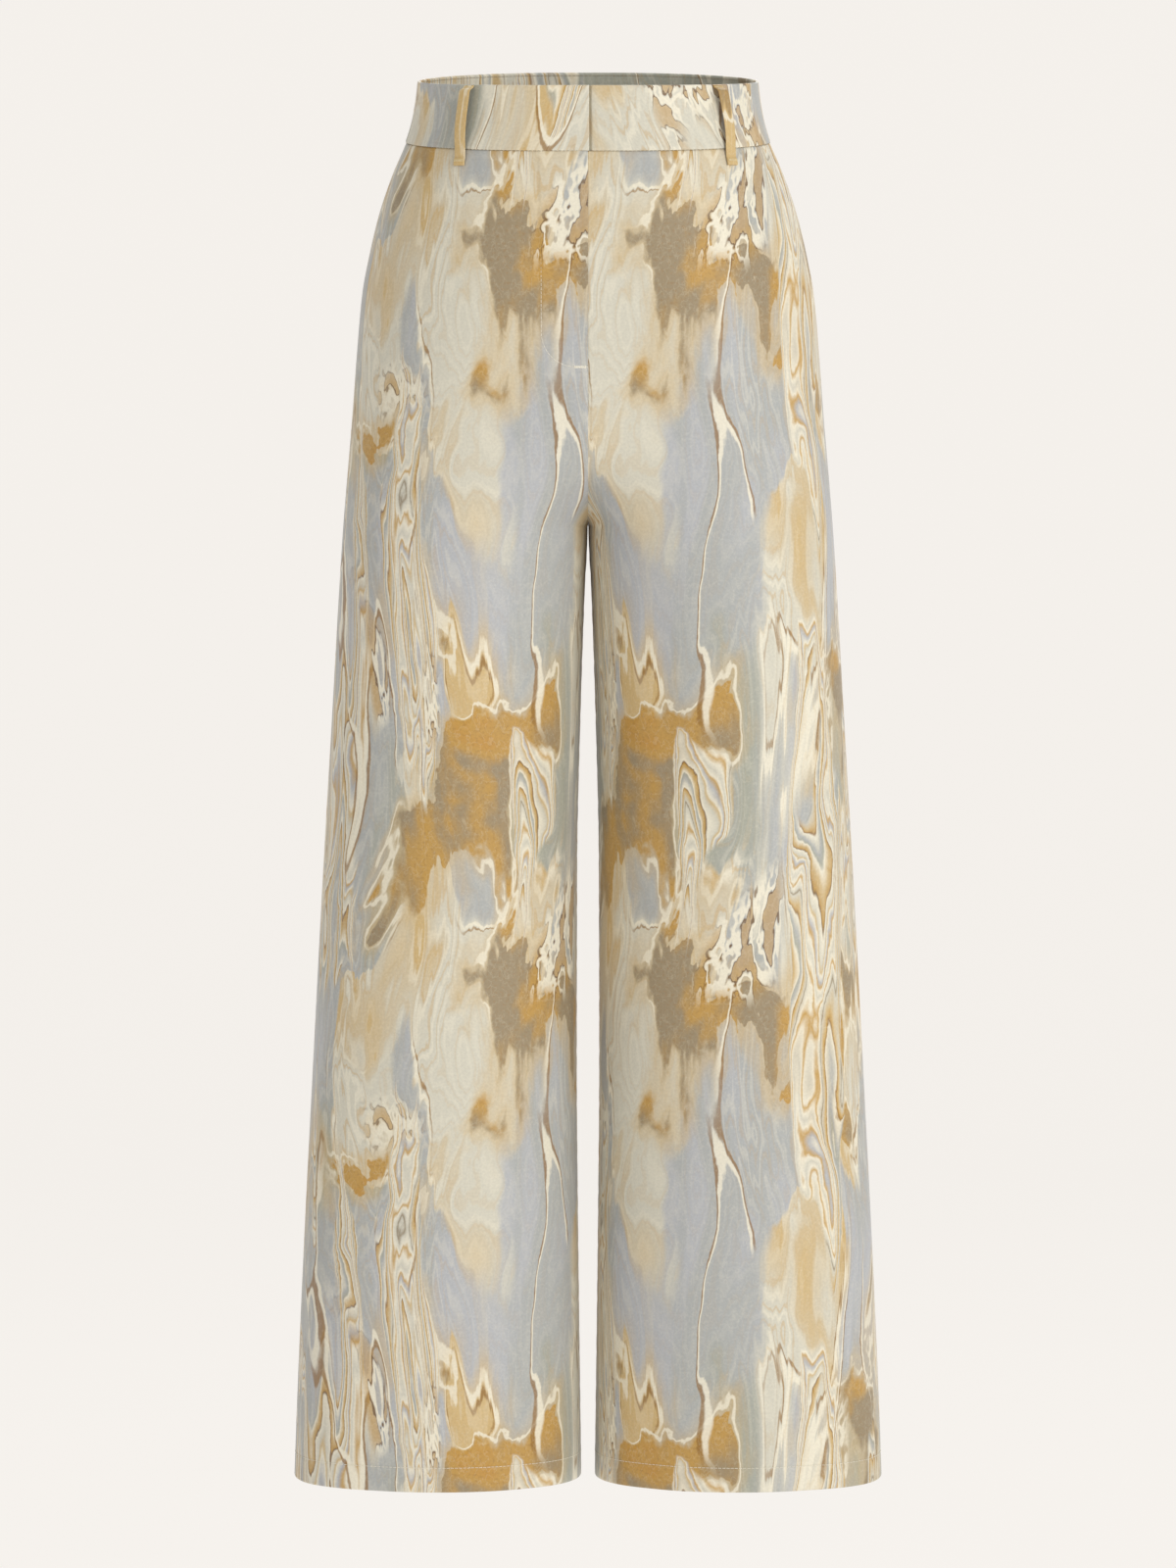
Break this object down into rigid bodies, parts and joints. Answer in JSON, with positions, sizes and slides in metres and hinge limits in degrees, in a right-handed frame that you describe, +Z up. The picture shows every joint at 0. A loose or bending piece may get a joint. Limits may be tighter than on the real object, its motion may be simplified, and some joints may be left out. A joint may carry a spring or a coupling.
{
  "type": "straight-leg trousers",
  "caption": "Full-length straight-leg trousers in worn, hollow form, with a waistband, belt loops, zip fly and stitched hems, in smooth marbled cloth.",
  "frame": {"origin": "centre of the waist opening, level with the waistband's top edge at the sides", "axes": "+Z up along the body, the front faces -Y, the wearer's left is +X"},
  "size_m": [0.437, 0.2352, 1.0462],
  "materials": {
    "printed_cloth": "smooth satin-backed crepe with a soft sheen, printed all over with a flowing marbled pattern in cream, sand, ochre and grey-blue",
    "waistband_cloth": "the same printed cloth, interlined and pressed flat",
    "loop_cloth": "narrow folded strips of the same printed cloth",
    "zip_tape_cloth": "woven sand-coloured zip tape",
    "zip_coil": "sand-coloured nylon coil",
    "zip_metal": "pale brushed metal"
  },
  "bodies": {
    "root": {"front_right": "printed_cloth", "front_left": "printed_cloth", "back_right": "printed_cloth", "back_left": "printed_cloth", "waistband_front_right": "waistband_cloth", "waistband_front_left": "waistband_cloth", "waistband_back": "waistband_cloth", "loop_front_right": "loop_cloth", "loop_front_left": "loop_cloth", "loop_back_right": "loop_cloth", "loop_back_left": "loop_cloth", "loop_centre_back": "loop_cloth", "zip_tape_right": "zip_tape_cloth", "zip_tape_left": "zip_tape_cloth", "zip_chain": "zip_coil", "zip_slider": "zip_metal"}
  },
  "joints": []
}
